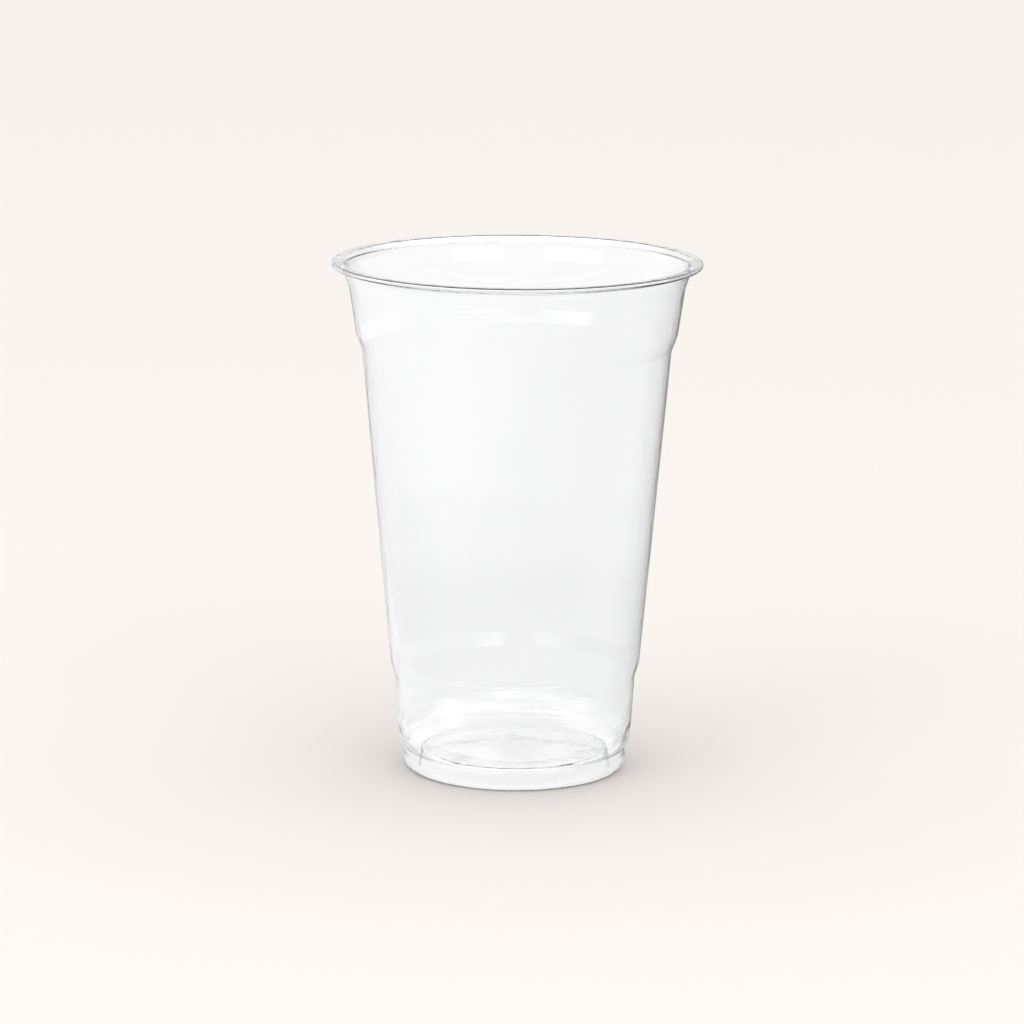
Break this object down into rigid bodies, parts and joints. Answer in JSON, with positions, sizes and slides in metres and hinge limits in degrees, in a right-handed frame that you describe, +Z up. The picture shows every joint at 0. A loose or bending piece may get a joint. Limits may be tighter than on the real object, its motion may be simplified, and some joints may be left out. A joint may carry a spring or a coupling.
{
  "type": "plastic disposable cup",
  "caption": "Tall clear plastic drinking cup, round and tapered, with a rolled lip, a lid band under it, a lower step and a raised floor inside a hollow foot ring.",
  "frame": {"origin": "centre of the foot ring, on the plane that the cup stands on", "axes": "+Z up along the cup's axis, out of its mouth; -Y towards the side that the picture shows"},
  "size_m": [0.098, 0.098, 0.137],
  "materials": {
    "clear_plastic": "clear, smooth and glossy"
  },
  "bodies": {
    "root": {"cup": "clear_plastic"}
  },
  "joints": []
}
